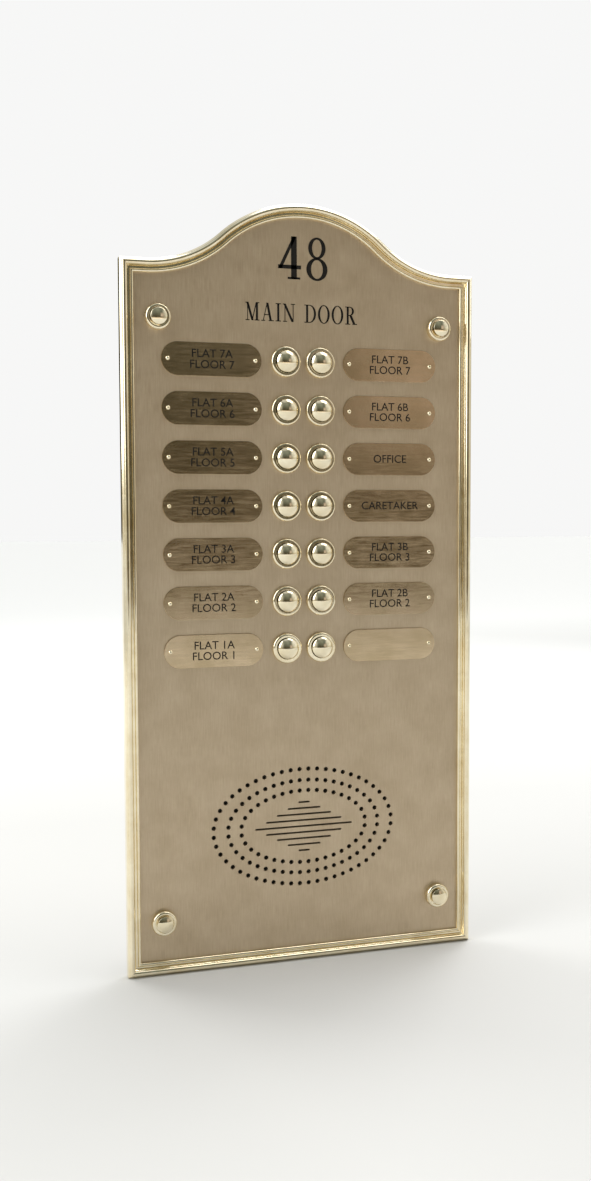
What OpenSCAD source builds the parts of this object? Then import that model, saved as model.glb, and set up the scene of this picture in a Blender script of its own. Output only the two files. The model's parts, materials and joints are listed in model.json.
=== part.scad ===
// Door intercom panel: a brass face plate in a moulded frame with an arched top,
// fourteen bell pushes with name plates, and a speech unit behind a pierced grille.
// +X right, +Z up, the front faces -Y. The origin is the centre of the four fixings,
// in the plane of the wall.

/* [Panel outline] */
// Overall width
panel_w = 240; // [230:1:320]
// Height from the bottom edge to the shoulders
shoulder_h = 460; // [440:1:600]
// Height of the arch above the shoulders
arch_rise = 40; // [30:1:44]
// Outer radius of the crown
crown_r = 83.2; // [60:0.1:90]
// Outer radius of each sweep from the crown down to a shoulder
sweep_r = 72; // [50:0.1:76]

/* [Face plate and gasket] */
// Thickness of the face plate
plate_t = 2.5; // [2:0.1:4]
// Thickness of the rubber gasket between the plate and the wall
gasket_t = 1.5; // [1:0.1:3]
// Width of the rubber gasket
gasket_w = 7; // [5:0.5:12]

/* [Frame moulding] */
// Width of the moulding
frame_w = 8.8; // [8:0.1:12]
// Height of the outer bead above the wall
frame_h = 9; // [8.6:0.1:14]
// Radius of the outer bead
outer_bead_r = 1.75; // [1.5:0.05:1.9]
// Radius of the inner bead
inner_bead_r = 1.15; // [0.8:0.05:1.3]
// Width of the solid rim outside the plate
rim_w = 4; // [3.6:0.1:4.2]
// Gap left at each mitre
mitre_gap = 0.06; // [0.02:0.01:0.2]
// Diameter of the screws that hold the moulding to the plate
frame_screw_d = 2; // [1.6:0.1:2.5]

/* [Rows] */
// Number of rows
rows = 7; // [7:1:7]
// Distance between rows
row_pitch = 31.3; // [30:0.1:34]
// Distance of the first row below the shoulders
first_row_drop = 61.5; // [56:0.5:70]
// Distance of each column of bell pushes from the centre line
push_x = 11.8; // [11.5:0.1:13]

/* [Bell pushes] */
// Diameter of the cap
cap_d = 14; // [12:0.1:14.6]
// Height of the domed cap above the plate
cap_h = 8; // [7:0.1:10]
// Rise of the cap's dome
dome_h = 2.8; // [2:0.1:3.6]
// Travel of the cap
travel = 2; // [1.5:0.1:2.4]
// Diameter of the bush's flange
flange_d = 20; // [19:0.1:21]
// Height of the bush's flange above the plate
flange_h = 3.2; // [2.5:0.1:4]
// Diameter of the bush's threaded barrel
barrel_d = 16.8; // [16:0.1:17.4]
// Diameter of the plunger behind the cap
plunger_d = 4; // [3:0.1:5]

/* [Name plates] */
// Length of a name plate
name_l = 66; // [60:0.5:72]
// Height of a name plate
name_h = 21.5; // [16:0.5:26]
// Thickness of a name plate
name_t = 1; // [0.8:0.1:1.6]
// Distance of the name plates' centres from the centre line
name_x = 61; // [60:0.5:64]
// Distance between a name plate's two rivets
rivet_pitch = 57.6; // [50:0.2:60]
// Diameter of a rivet's shank
rivet_d = 1.8; // [1.4:0.1:2.2]
// Diameter of a rivet's head
rivet_head_d = 2.8; // [2.4:0.1:3.4]

/* [Fixings] */
// Distance of the fixings from the sides
fixing_side = 24; // [20:0.5:30]
// Distance of the lower fixings above the bottom edge
fixing_low = 34; // [28:0.5:40]
// Distance of the upper fixings below the shoulders
fixing_drop = 36; // [32:0.5:40]
// Diameter of the fixing screws
fixing_d = 6; // [5:0.5:8]
// Length of the fixing screws behind the wall plane
fixing_reach = 30; // [20:1:50]
// Diameter of the collars
collar_d = 16.5; // [15:0.1:19]
// Height of the collars above the plate
collar_h = 4.5; // [4:0.1:6]
// Diameter of the screw heads
head_d = 10.6; // [9:0.1:12]
// Height of the screw heads above the plate
head_h = 7.4; // [6.6:0.1:9]

/* [Speech grille] */
// Height of the grille's centre above the bottom edge
grille_z = 90; // [86:0.5:110]
// Half widths of the three ovals of holes
oval_half_w = [62.4, 52.5, 43.6];
// Half heights of the three ovals of holes
oval_half_h = [38.9, 31.4, 24.4];
// Numbers of holes in the three ovals
oval_holes = [52, 44, 36];
// Diameter of the holes
hole_d = 3; // [2:0.1:3.6]
// Width of the slots
slot_w = 1.2; // [0.8:0.1:2]
// Distance between slots
slot_pitch = 4.1; // [3.6:0.1:4.4]
// Length of the middle slot
slot_l = 68; // [60:0.5:72]
// How much shorter each slot is than its inner neighbour
slot_step = 15; // [14:0.5:16]

/* [Speech unit] */
// Width of the housing
unit_w = 138; // [134:1:160]
// Height of the housing
unit_h = 92; // [90:1:100]
// Depth from the gauze to the seam with the cover
unit_depth = 23; // [22:0.5:30]
// Depth of the rear cover
cover_depth = 13; // [12:0.5:20]
// Wall of the housing and the cover
unit_wall = 2.2; // [1.8:0.1:3]
// Diameter of the loudspeaker
speaker_d = 57; // [50:1:66]
// Depth of the loudspeaker
speaker_depth = 13.5; // [12:0.5:15]
// Thickness of the circuit board
board_t = 1.6; // [1:0.1:2]
// Diameter of the screws that hold the unit
unit_screw_d = 3; // [2.5:0.1:4]

/* [Hidden] */
$fn = 48;
sides = ["l", "r"];

// clearances
slide_gap = 0.05; // radial, around a sliding or turning shaft
hole_gap = 0.1; // radial, around a fastener or a fixed shank
free_gap = 0.3; // between parts that move past each other
edge_gap = 0.2; // between the plate's edge and the moulding

// heights, measured forwards from the wall plane
plate_back = gasket_t;
plate_front = gasket_t + plate_t;

// places in the panel's plane
bottom_z = -(fixing_low + shoulder_h - fixing_drop) / 2;
shoulder_z = bottom_z + shoulder_h;
top_z = shoulder_z + arch_rise;
half_w = panel_w / 2;
crown_z = top_z - crown_r;
sweep_z = shoulder_z + sweep_r;
sweep_x = sqrt(pow(crown_r + sweep_r, 2) - pow(sweep_z - crown_z, 2));
join_angle = atan2(sweep_z - crown_z, sweep_x); // where the crown meets a sweep
first_row_z = shoulder_z - first_row_drop;
fixing_x = half_w - fixing_side;
fixing_z = (shoulder_h - fixing_low - fixing_drop) / 2;
unit_z = bottom_z + grille_z;

// frame moulding
outer_bead_x = 1.15; // where the outer bead begins
outer_bevel = 1;
lip_t = 1.2; // thickness of the moulding over the plate's edge
inner_bead_x = frame_w - inner_bead_r - 0.05;
groove_w = inner_bead_x - inner_bead_r - outer_bead_x - 2 * outer_bead_r;

// screws under the inner bead that hold the moulding to the plate
frame_screw_bite = 1.2;
frame_screw_end = 40; // from a corner to the nearest screw in a side
frame_screw_step = (shoulder_h - 2 * frame_screw_end) / 3;
frame_screw_x = 66; // in the bottom
frame_screw_turn = 32; // along the crown
frame_screw_r = crown_r - inner_bead_x;
frame_screw_at = concat(
    [
        for (s = [-1, 1], k = [0:3])
            [s * (half_w - inner_bead_x), bottom_z + frame_screw_end + k * frame_screw_step]
    ],
    [for (s = [-1, 1]) [s * frame_screw_x, bottom_z + inner_bead_x]],
    [
        for (s = [-1, 0, 1])
            [frame_screw_r * sin(s * frame_screw_turn), crown_z + frame_screw_r * cos(s * frame_screw_turn)]
    ]
);

// bell push, heights from the wall plane
flange_front = plate_front + flange_h;
rim_r = 1.35; // rounding of the flange's rim
bore_d = cap_d + 2 * free_gap;
web_t = 2; // the bush's inner wall, which guides the plunger
web_front = -3;
web_back = web_front - web_t;
cap_front = plate_front + cap_h;
cap_back = web_front + travel + free_gap;
cap_wall = 2;
cap_cavity = plate_front + 3; // the spring's seat inside the cap
rivet_rise = 0.8;
clip_t = 0.8;
clip_d = 8;
blade_front = web_back - clip_t - travel - 4 * free_gap;
plunger_end = blade_front + free_gap;
contact_front = plunger_end - travel - free_gap;
nut_t = 2.4;
nut_d = barrel_d + 6.2; // across the corners

collar_recess = 1.8;

// spring behind the cap
spring_wire = 0.7;
spring_play = 0.8; // between the spring and the cap's wall
spring_d = cap_d - 2 * (cap_wall + spring_play);
spring_turns = 4;

// contact block
carrier_w = 17;
carrier_h = 26;
carrier_wall = 1.6;
base_t = 2.4;
base_front = contact_front - 0.3;
base_back = base_front - base_t;
post_z = -9.5; // the two terminals, below the plunger
post_x = 5;
post_d = 5;
blade_t = 0.4;
blade_w = 4.6;
foot_l = 4.4; // of a contact's foot under its terminal
foot_side = 2.4; // from the terminal to the end of the foot
tongue_reach = 3; // past the plunger's axis
contact_d = 4;
contact_w = 3;
terminal_d = 3;
terminal_head_d = 5.2;
terminal_head_h = 1.8;
bus_w = 5.4;
bus_t = 0.8;
wire_d = 1.8;
wire_bend_r = 3;

// speech unit, heights from the wall plane
gauze_t = 0.4;
unit_front = plate_back - gauze_t;
baffle_front = unit_front - 3;
baffle_t = 2.4;
baffle_back = baffle_front - baffle_t;
seam = unit_front - unit_depth;
cover_back = seam - cover_depth;
board_front = seam + 4;
board_back = board_front - board_t;
board_w = unit_w - 2 * unit_wall - 22;
board_h = unit_h - 2 * unit_wall - 3;
boss_d = 8;
unit_corner_r = 6;
inner_corner_r = 3;
boss_x = unit_w / 2 - unit_wall - inner_corner_r;
boss_z = unit_h / 2 - unit_wall - inner_corner_r;
pillar_d = 2 * (inner_corner_r - free_gap); // stands inside the housing's corner
speaker_x = -14;
speaker_lap = 3.5; // of the basket's rim on the baffle
magnet_d = 0.56 * speaker_d;
magnet_t = 5;
mic_x = 46;
mic_z = 0;
mic_d = 9.8;
mic_t = 6;
trimmer_d = 6;
trimmer_h = 4.5;
trimmer_x = [-40, -28];
trimmer_z = -20;
trimmer_hole_d = trimmer_d + 1.4;
vent_x = 34;
vent_w = 2;
vent_h = 22;
vent_pitch = 4.5;
ledge_t = 2; // under the board
ledge_h = 24;
ledge_w = 6;
ledge_post = 3; // thickness of the rib behind each ledge
block_w = 76;
block_h = 12;
block_t = 11;
block_z = board_h / 2 - block_h / 2 - 1;
loom_d = 7.5;
block_pitch = 9;
block_back = board_back - block_t;
block_ways = 8;
well_depth = 4; // from the block's back to the seats of its screws
way_depth = 7; // from the block's back to the middle of its wire ways
wire_y = -(block_back + way_depth); // depth of the wires behind the wall
wire_grip = 4; // length of each wire inside the block
loom_end = unit_z + unit_h / 2 + free_gap; // the loom stops just above the speech unit
loom_top = row_z(1) + post_z + loom_d / 2;

// Places children at (x, z), with their own +Z towards the front
module at(x, z) {
    translate([x, 0, z]) rotate([90, 0, 0]) children();
}

// A plane shape between two heights
module slab(low, high) {
    rotate([90, 0, 0]) translate([0, 0, low]) linear_extrude(high - low) children();
}

// A disc between two heights, in the frame of at()
module disc(d, low, high) {
    translate([0, 0, low]) cylinder(d = d, h = high - low);
}

// Both columns and all rows, on the bell pushes' axes
module every_push() {
    for (s = [-1, 1], row = [1:rows]) at(s * push_x, row_z(row)) children();
}

function row_z(row) = first_row_z - (row - 1) * row_pitch;
function way_x(k) = (k - (block_ways - 1) / 2) * block_pitch;

// The ogee outline, moved inwards by inset
function arc_points(x, z, r, from, to, n) =
    [for (k = [0:n]) [x + r * cos(from + (to - from) * k / n), z + r * sin(from + (to - from) * k / n)]];

function outline(inset) = concat(
    [[-half_w + inset, bottom_z + inset], [half_w - inset, bottom_z + inset]],
    [[half_w - inset, shoulder_z - inset]],
    arc_points(sweep_x, sweep_z, sweep_r + inset, 270, 180 + join_angle, 12),
    arc_points(0, crown_z, crown_r - inset, join_angle, 180 - join_angle, 24),
    arc_points(-sweep_x, sweep_z, sweep_r + inset, -join_angle, -90, 12),
    [[-half_w + inset, shoulder_z - inset]]
);

// Section of the moulding: x runs inwards from the outer edge, y forwards from the wall
module moulding() {
    bead_x = outer_bead_x + outer_bead_r;
    bead_y = frame_h - outer_bead_r;
    lip = plate_front + lip_t;
    polygon(concat(
        [[0, 0], [0, bead_y - outer_bevel]],
        arc_points(bead_x, bead_y, outer_bead_r, 180, -30, 14),
        [[bead_x + outer_bead_r + groove_w / 3, lip]],
        arc_points(inner_bead_x, lip, inner_bead_r, 180, 0, 12),
        [[inner_bead_x + inner_bead_r - 0.2, plate_front], [rim_w, plate_front], [rim_w, 0]]
    ));
}

// A level stretch of the moulding, cut square, that hangs down from its outer edge
module straight_moulding(length) {
    translate([length / 2, 0, 0]) rotate([0, 90, 180]) linear_extrude(length) moulding();
}

// The moulding turned right round a centre. r is the radius of its outer edge, and its
// inner edge lies outwards for a sweep and inwards for the crown
module ring_moulding(x, z, r, is_sweep) {
    at(x, z) rotate_extrude($fn = 96) translate([r, 0]) mirror([is_sweep ? 0 : 1, 0]) moulding();
}

// Keeps what lies inside a mitred region of the plane
module mitred(points) {
    intersection() {
        children();
        slab(-1, frame_h + 1) polygon(points);
    }
}

module frame_side() {
    reach = frame_w + 4;
    gap = mitre_gap / 2;
    mitred([
        [-half_w - 1, bottom_z - 1 + gap], [-half_w + reach, bottom_z + reach + gap],
        [-half_w + reach, shoulder_z - reach - gap], [-half_w - 1, shoulder_z + 1 - gap]
    ])
        translate([-half_w, 0, bottom_z]) linear_extrude(shoulder_h) mirror([0, 1]) moulding();
}

module frame_left() {
    color("goldenrod") drilled() frame_side();
}

module frame_right() {
    color("goldenrod") drilled() mirror([1, 0, 0]) frame_side();
}

module frame_bottom() {
    reach = frame_w + 4;
    gap = mitre_gap / 2;
    color("goldenrod") drilled() mitred([
        [-half_w - 1 + gap, bottom_z - 1], [half_w + 1 - gap, bottom_z - 1],
        [half_w - reach - gap, bottom_z + reach], [-half_w + reach + gap, bottom_z + reach]
    ])
        translate([0, 0, bottom_z]) mirror([0, 0, 1]) straight_moulding(panel_w);
}

// Half of the arched top: a mitred shoulder and the sweep up to the crown
module frame_half() {
    reach = frame_w + 4;
    gap = mitre_gap / 2;
    mitred([
        [half_w + 1 - gap, shoulder_z + 1], [sweep_x, shoulder_z + 1],
        [sweep_x, shoulder_z - reach], [half_w - reach - gap, shoulder_z - reach]
    ])
        translate([0, 0, shoulder_z]) straight_moulding(panel_w);
    mitred([[sweep_x, sweep_z], [0, crown_z], [sweep_x, crown_z]])
        ring_moulding(sweep_x, sweep_z, sweep_r, true);
}

// The sweeps and the crown meet on the lines that join their centres
module frame_top() {
    color("goldenrod") drilled() {
        frame_half();
        mirror([1, 0, 0]) frame_half();
        mitred([[0, crown_z], [sweep_x, sweep_z], [0, top_z + sweep_r], [-sweep_x, sweep_z]])
            ring_moulding(0, crown_z, crown_r, false);
    }
}

// Takes the blind holes for those screws out of a piece of the moulding
module drilled() {
    difference() {
        children();
        for (p = frame_screw_at) at(p[0], p[1])
            disc(frame_screw_d + 2 * hole_gap, plate_front - 1, plate_front + frame_screw_bite + 0.2);
    }
}

module grille_cuts() {
    for (k = [0:2], n = [0:oval_holes[k] - 1]) {
        turn = oval_turn(oval_half_w[k], oval_half_h[k], (n + 0.5) / oval_holes[k]);
        translate([oval_half_w[k] * cos(turn), oval_half_h[k] * sin(turn)]) circle(d = hole_d);
    }
    for (k = [-4:4]) translate([0, k * slot_pitch]) slot(slot_l - slot_step * abs(k));
}

// The angle at which a point has gone a given share of the way round an oval, so that
// the holes stand evenly along it
function oval_step(a, b, turn) = norm([a * sin(turn + 1), b * cos(turn + 1)]);
function oval_lengths(a, b) = [
    for (turn = 0, sum = 0; turn <= 360; sum = sum + oval_step(a, b, turn), turn = turn + 2) sum
];
function oval_turn(a, b, share) =
    let (lengths = oval_lengths(a, b))
    let (goal = share * lengths[180])
    let (k = len([for (l = lengths) if (l <= goal) l]) - 1)
    2 * (k + (goal - lengths[k]) / (lengths[k + 1] - lengths[k]));

module slot(length) {
    square([length - slot_w, slot_w], center = true);
    for (s = [-1, 1]) translate([s * (length - slot_w) / 2, 0]) circle(d = slot_w, $fn = 24);
}

module face_plate() {
    color("tan") {
        slab(plate_back, plate_front) difference() {
            polygon(outline(rim_w + edge_gap));
            translate([0, unit_z]) grille_cuts();
            for (s = [-1, 1], row = [1:rows]) {
                translate([s * push_x, row_z(row)]) circle(d = barrel_d + 2 * hole_gap);
                for (e = [-1, 1]) translate([s * name_x + e * rivet_pitch / 2, row_z(row)])
                    circle(d = rivet_d + 2 * hole_gap, $fn = 24);
            }
            for (s = [-1, 1], e = [-1, 1]) translate([s * fixing_x, e * fixing_z])
                circle(d = fixing_d + 4 * hole_gap);
            for (p = frame_screw_at) translate(p) circle(d = frame_screw_d + 2 * hole_gap, $fn = 24);
        }
        // threaded pillars for the speech unit
        for (s = [-1, 1], e = [-1, 1]) at(s * boss_x, unit_z + e * boss_z) difference() {
            disc(pillar_d, baffle_front + free_gap, plate_back + 0.1);
            disc(unit_screw_d + 2 * slide_gap, baffle_front, plate_back - 0.4);
        }
    }
}

module stadium(length, height) {
    square([length - height, height], center = true);
    for (s = [-1, 1]) translate([s * (length - height) / 2, 0]) circle(d = height, $fn = 72);
}

module name_plate(s, row) {
    color("darkkhaki") translate([s * name_x, 0, row_z(row)])
        slab(plate_front, plate_front + name_t) difference() {
            stadium(name_l, name_h);
            for (e = [-1, 1]) translate([e * rivet_pitch / 2, 0])
                circle(d = rivet_d + 2 * hole_gap, $fn = 24);
        }
}

module name_plate_rivets() {
    head_front = plate_front + name_t;
    color("khaki") for (s = [-1, 1], row = [1:rows], e = [-1, 1])
        at(s * name_x + e * rivet_pitch / 2, row_z(row)) rotate_extrude($fn = 32) {
            square_from(0, plate_back, rivet_d / 2, head_front);
            translate([0, head_front]) dome(rivet_head_d, rivet_rise);
        }
}

// A rectangle given by two corners
module square_from(x0, y0, x1, y1) {
    translate([x0, y0]) square([x1 - x0, y1 - y0]);
}

// Half section of a dome of a given diameter and rise, standing on y = 0
module dome(d, rise) {
    r = (d * d / 4 + rise * rise) / (2 * rise);
    intersection() {
        translate([0, rise - r]) circle(r = r, $fn = 120);
        square([d / 2, rise]);
    }
}

// Half section of the cap and its plunger
module cap_section() {
    dome_base = cap_front - dome_h;
    translate([0, dome_base]) dome(cap_d, dome_h);
    difference() {
        square_from(0, cap_back, cap_d / 2, dome_base);
        square_from(plunger_d / 2, cap_back - 1, cap_d / 2 - cap_wall, cap_cavity);
    }
    square_from(0, plunger_end, plunger_d / 2, cap_cavity);
}

module push_button(s, row) {
    clip_front = web_back - slide_gap;
    color("gold") at(s * push_x, row_z(row)) rotate_extrude($fn = 64) {
        cap_section();
        square_from(0, clip_front - clip_t, clip_d / 2, clip_front);
    }
}

// Half section of the bush: a flange with a rounded rim, a barrel and a web
module bush_section() {
    rim_x = flange_d / 2 - rim_r;
    difference() {
        union() {
            square_from(0, plate_front, flange_d / 2 - rim_r, flange_front - 0.4);
            square_from(0, plate_front, flange_d / 2, flange_front - rim_r);
            translate([rim_x, flange_front - rim_r]) circle(r = rim_r);
            square_from(0, web_back, barrel_d / 2, plate_front + 1);
        }
        square_from(-1, web_front, bore_d / 2, flange_front + 1);
        square_from(-1, web_back - 1, plunger_d / 2 + slide_gap, web_front + 1);
    }
}

module button_bushes() {
    color("gold") every_push() rotate_extrude($fn = 64) bush_section();
}

module bush_nuts() {
    color("darkgoldenrod") every_push() difference() {
        translate([0, 0, plate_back - nut_t]) rotate(30) cylinder(d = nut_d, h = nut_t, $fn = 6);
        disc(barrel_d + 2 * slide_gap, plate_back - nut_t - 1, plate_back + 1);
    }
}

// Rings of wire at the spring's pitch, joined to each other by their contact
module button_springs() {
    low = web_front;
    high = cap_cavity;
    pitch = (high - low - spring_wire) / (spring_turns - 1);
    color("silver") every_push() for (k = [0:spring_turns - 1])
        translate([0, 0, low + spring_wire / 2 + k * pitch]) rotate_extrude($fn = 32)
            translate([(spring_d - spring_wire) / 2, 0]) circle(d = spring_wire, $fn = 16);
}

module contact_carriers() {
    socket_d = barrel_d + 2 * hole_gap;
    socket_front = plate_back - nut_t - 0.4;
    side_h = 12; // of the two walls
    color("saddlebrown") every_push() {
        difference() {
            // socket on the barrel
            disc(socket_d + 2 * carrier_wall, web_back - 0.4, socket_front);
            disc(socket_d, web_back, socket_front + 1);
            disc(clip_d + 2, web_back - 2, web_back + 1);
        }
        // two walls down to the base
        for (s = [-1, 1]) translate([s * (carrier_w - carrier_wall) / 2, 0, (base_back + web_back) / 2])
            cube([carrier_wall, side_h, web_back - base_back], center = true);
        difference() {
            union() {
                translate([-carrier_w / 2, -carrier_h / 2, base_back]) cube([carrier_w, carrier_h, base_t]);
                translate([-post_x, post_z]) disc(post_d, base_front - 0.1, blade_front - blade_t);
            }
            for (s = [-1, 1]) translate([s * post_x, post_z])
                disc(terminal_d + 2 * hole_gap, base_back - 1, base_front + 6);
        }
    }
}

// Leaf that the plunger bends: a tongue behind the plunger and a foot under its terminal
module contact_blades() {
    color("gold") every_push() difference() {
        union() {
            translate([-blade_w / 2, post_z - foot_l / 2, blade_front - blade_t])
                cube([blade_w, tongue_reach - post_z + foot_l / 2, blade_t]);
            translate([-post_x - foot_side, post_z - foot_l / 2, blade_front - blade_t])
                cube([post_x + foot_side, foot_l, blade_t]);
        }
        translate([-post_x, post_z])
            disc(terminal_d + 2 * hole_gap, blade_front - blade_t - 1, blade_front + 1);
    }
}

module fixed_contacts() {
    strip_t = contact_front - base_front - 0.1;
    color("gold") every_push() difference() {
        union() {
            disc(contact_d, base_front, contact_front);
            translate([-contact_w / 2, post_z - foot_l / 2, base_front])
                cube([contact_w, foot_l / 2 - post_z, strip_t]);
            translate([0, post_z - foot_l / 2, base_front]) cube([post_x + foot_side, foot_l, strip_t]);
        }
        translate([post_x, post_z]) disc(terminal_d + 2 * hole_gap, base_front - 1, contact_front + 1);
    }
}

// A slotted cheese-head screw from the back, its head's seat and its tip given as heights
module terminal_screw(seat, tip) {
    difference() {
        union() {
            disc(terminal_head_d, seat - terminal_head_h, seat);
            disc(terminal_d, seat - 0.1, tip);
        }
        translate([-terminal_head_d, -0.35, seat - terminal_head_h - 1])
            cube([2 * terminal_head_d, 0.7, 1.9]);
    }
}

module terminal_screws() {
    color("silver") {
        every_push() {
            translate([-post_x, post_z]) terminal_screw(base_back, blade_front + 0.6);
            translate([post_x, post_z]) terminal_screw(base_back - bus_t, contact_front + 0.6);
        }
        for (k = [0:block_ways - 1]) at(way_x(k), unit_z + block_z)
            terminal_screw(block_back + well_depth, -wire_y - wire_d / 2 - 0.2);
    }
}

// One strip in each column joins the fixed contacts
module common_bus() {
    color("orange") for (s = [-1, 1]) slab(base_back - bus_t, base_back) difference() {
        translate([s * push_x + post_x - bus_w / 2, row_z(rows) + post_z - bus_w / 2])
            square([bus_w, (rows - 1) * row_pitch + bus_w]);
        for (row = [1:rows]) translate([s * push_x + post_x, row_z(row) + post_z])
            circle(d = terminal_d + 2 * hole_gap);
    }
}

// The seat of the screw heads lies in a recess in the collars
module every_fixing() {
    for (s = [-1, 1], e = [-1, 1]) at(s * fixing_x, e * fixing_z) children();
}

module fixing_collars() {
    round_r = 1.6;
    top = plate_front + collar_h;
    recess_d = head_d + 1.4;
    color("gold") every_fixing() rotate_extrude($fn = 64) difference() {
        union() {
            square_from(fixing_d / 2 + hole_gap, plate_front, collar_d / 2, top - round_r);
            square_from(fixing_d / 2 + hole_gap, plate_front, collar_d / 2 - round_r, top);
            translate([collar_d / 2 - round_r, top - round_r]) circle(r = round_r);
        }
        square_from(-1, top - collar_recess, recess_d / 2, top + 1);
    }
}

module fixing_screws() {
    seat = plate_front + collar_h - collar_recess;
    head_dome = 1.2;
    shoulder = plate_front + head_h - head_dome;
    neck_d = fixing_d - 0.4; // inside the collar and the plate
    neck_end = -0.3;
    color("gold") every_fixing() rotate_extrude($fn = 64) {
        square_from(0, seat, head_d / 2, shoulder);
        translate([0, shoulder]) dome(head_d, head_dome);
        square_from(0, -fixing_reach, fixing_d / 2, neck_end);
        square_from(0, neck_end - 0.1, neck_d / 2, seat + 0.1);
    }
}

module rear_gasket() {
    color("dimgray") slab(0, plate_back) difference() {
        polygon(outline(rim_w + edge_gap));
        polygon(outline(rim_w + edge_gap + gasket_w));
        for (p = frame_screw_at) translate(p) circle(d = 2 * frame_screw_d + 2 * free_gap, $fn = 24);
    }
}

module frame_screws() {
    color("darkgoldenrod") for (p = frame_screw_at) at(p[0], p[1]) rotate_extrude($fn = 24) {
        square_from(0, plate_back - 1, frame_screw_d, plate_back);
        square_from(0, plate_back - 0.1, frame_screw_d / 2, plate_front + frame_screw_bite);
    }
}

module rounded(w, h, r) {
    square([w - 2 * r, h], center = true);
    square([w, h - 2 * r], center = true);
    for (s = [-1, 1], e = [-1, 1]) translate([s * (w / 2 - r), e * (h / 2 - r)]) circle(r = r);
}

module grille_gauze() {
    color("dimgray") translate([0, 0, unit_z]) slab(unit_front, plate_back) difference() {
        rounded(unit_w, unit_h, unit_corner_r);
        for (s = [-1, 1], e = [-1, 1]) translate([s * boss_x, e * boss_z]) circle(d = boss_d);
    }
}

module unit_corners() {
    for (s = [-1, 1], e = [-1, 1]) translate([s * boss_x, e * boss_z]) children();
}

module speech_housing() {
    color("darkslategray") translate([0, 0, unit_z]) difference() {
        union() {
            slab(seam, unit_front) difference() {
                rounded(unit_w, unit_h, unit_corner_r);
                rounded(unit_w - 2 * unit_wall, unit_h - 2 * unit_wall, inner_corner_r);
            }
            slab(baffle_back, baffle_front) rounded(unit_w - 1, unit_h - 1, unit_corner_r - 0.5);
            slab(seam, baffle_front - 0.5) unit_corners() circle(d = boss_d);
            // ledges that carry the board
            for (s = [-1, 1]) slab(board_front, board_front + ledge_t)
                translate([s * board_w / 2, 0]) square([ledge_w, ledge_h], center = true);
            for (s = [-1, 1]) slab(board_front + 1, baffle_front - 0.5)
                translate([s * (board_w / 2 + 1), 0]) square([ledge_post, ledge_h], center = true);
            // pocket wall round the microphone
            slab(baffle_back - mic_t + 1, baffle_front - 0.5) translate([mic_x, mic_z])
                circle(d = mic_d + 5.4);
        }
        slab(baffle_back - 1, baffle_front + 1) translate([speaker_x, 0])
            circle(d = speaker_d - 2 * speaker_lap, $fn = 96);
        slab(baffle_back - mic_t, baffle_front + 1) translate([mic_x, mic_z]) circle(d = mic_d + 2.4);
        slab(seam - 1, baffle_front + 1) unit_corners() circle(d = unit_screw_d + 2 * hole_gap);
    }
}

module speech_cover() {
    color("darkslategray") translate([0, 0, unit_z]) difference() {
        union() {
            slab(cover_back, seam) difference() {
                rounded(unit_w, unit_h, unit_corner_r);
                rounded(unit_w - 2 * unit_wall, unit_h - 2 * unit_wall, inner_corner_r);
            }
            slab(cover_back, cover_back + unit_wall) rounded(unit_w - 1, unit_h - 1, unit_corner_r - 0.5);
            slab(cover_back + 0.5, seam) unit_corners() circle(d = boss_d);
        }
        slab(cover_back - 1, seam + 1) unit_corners() circle(d = unit_screw_d + 2 * hole_gap);
        // window for the terminal block, open at the top
        slab(cover_back - 1, board_back + 2.5) translate([-block_w / 2 - 1, block_z - block_h / 2 - 1])
            square([block_w + 2, unit_h]);
        // holes over the two trimmers
        for (x = trimmer_x) slab(cover_back - 1, seam) translate([x, trimmer_z]) circle(d = trimmer_hole_d);
        // vents
        for (k = [-2.5:2.5]) slab(cover_back - 1, seam) translate([vent_x + k * vent_pitch, trimmer_z])
            stadium_slot(vent_w, vent_h);
    }
}

module stadium_slot(w, h) {
    square([w, h - w], center = true);
    for (e = [-1, 1]) translate([0, e * (h - w) / 2]) circle(d = w, $fn = 24);
}

module unit_screws() {
    color("silver") for (s = [-1, 1], e = [-1, 1]) at(s * boss_x, unit_z + e * boss_z)
        difference() {
            union() {
                disc(1.9 * unit_screw_d, cover_back - 2, cover_back);
                disc(unit_screw_d, cover_back - 0.1, plate_back - 1.2);
            }
            translate([-unit_screw_d, -0.4, cover_back - 3]) cube([2 * unit_screw_d, 0.8, 2]);
        }
}

// Loudspeaker: a dished steel basket with six windows, a magnet and a paper cone
module speaker_basket() {
    back = baffle_back - speaker_depth + magnet_t;
    color("silver") at(speaker_x, unit_z) difference() {
        rotate_extrude($fn = 96) polygon([
            [speaker_d / 2, baffle_back], [speaker_d / 2, baffle_back - 1.2],
            [speaker_d / 2 - 4.6, baffle_back - 1.2],
            [magnet_d / 2, back], [magnet_d / 2 - 1.8, back], [magnet_d / 2 - 1.8, back + 0.8],
            [speaker_d / 2 - 5.2, baffle_back - 0.2], [speaker_d / 2 - 5.2, baffle_back]
        ]);
        for (k = [0:5]) rotate(60 * k)
            translate([(speaker_d + magnet_d) / 4 - 2, 0, (baffle_back + back) / 2])
                cube([4.6, 9, 30], center = true);
    }
}

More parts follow.
